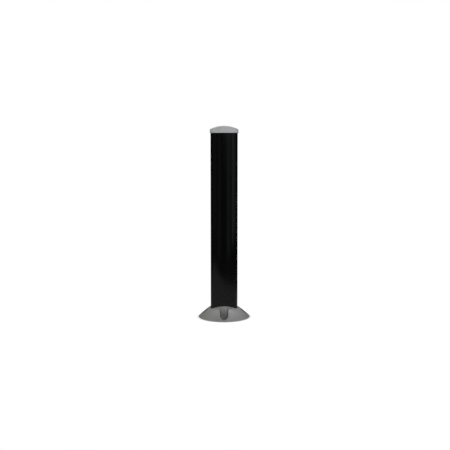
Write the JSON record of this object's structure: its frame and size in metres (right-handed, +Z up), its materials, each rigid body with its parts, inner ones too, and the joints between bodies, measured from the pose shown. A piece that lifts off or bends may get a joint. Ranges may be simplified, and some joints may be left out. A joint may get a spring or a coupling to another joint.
{
  "type": "bollard post",
  "caption": "Slim surface-mounted bollard post with a crowned rectangular black post, a low domed silver-grey foot with anchor pockets and an arched lift-off cap.",
  "frame": {"origin": "on the floor at the centre of the foot", "axes": "+Z up along the post, -Y the front, +X to the right of someone who faces the front"},
  "size_m": [0.1342, 0.1342, 0.5],
  "materials": {
    "foot_paint": "satin",
    "post_coat": "gloss",
    "cap_satin": "satin",
    "rubber": "matte",
    "nylon": "matte",
    "stainless": "satin"
  },
  "bodies": {
    "post": {"foot_casting": "foot_paint", "base_gasket": "rubber", "post_gasket": "rubber", "post_profile": "post_coat", "post_screws": "stainless", "post_screw_washers": "stainless"},
    "cap": {"cap": "cap_satin", "cap_seal": "rubber", "cap_plug": "nylon", "cap_screws": "stainless"}
  },
  "joints": [
    {"name": "cap_lift", "type": "slide", "parent": "post", "child": "cap", "axis": [0, 0, 1], "range_m": [0, 0.06]}
  ]
}
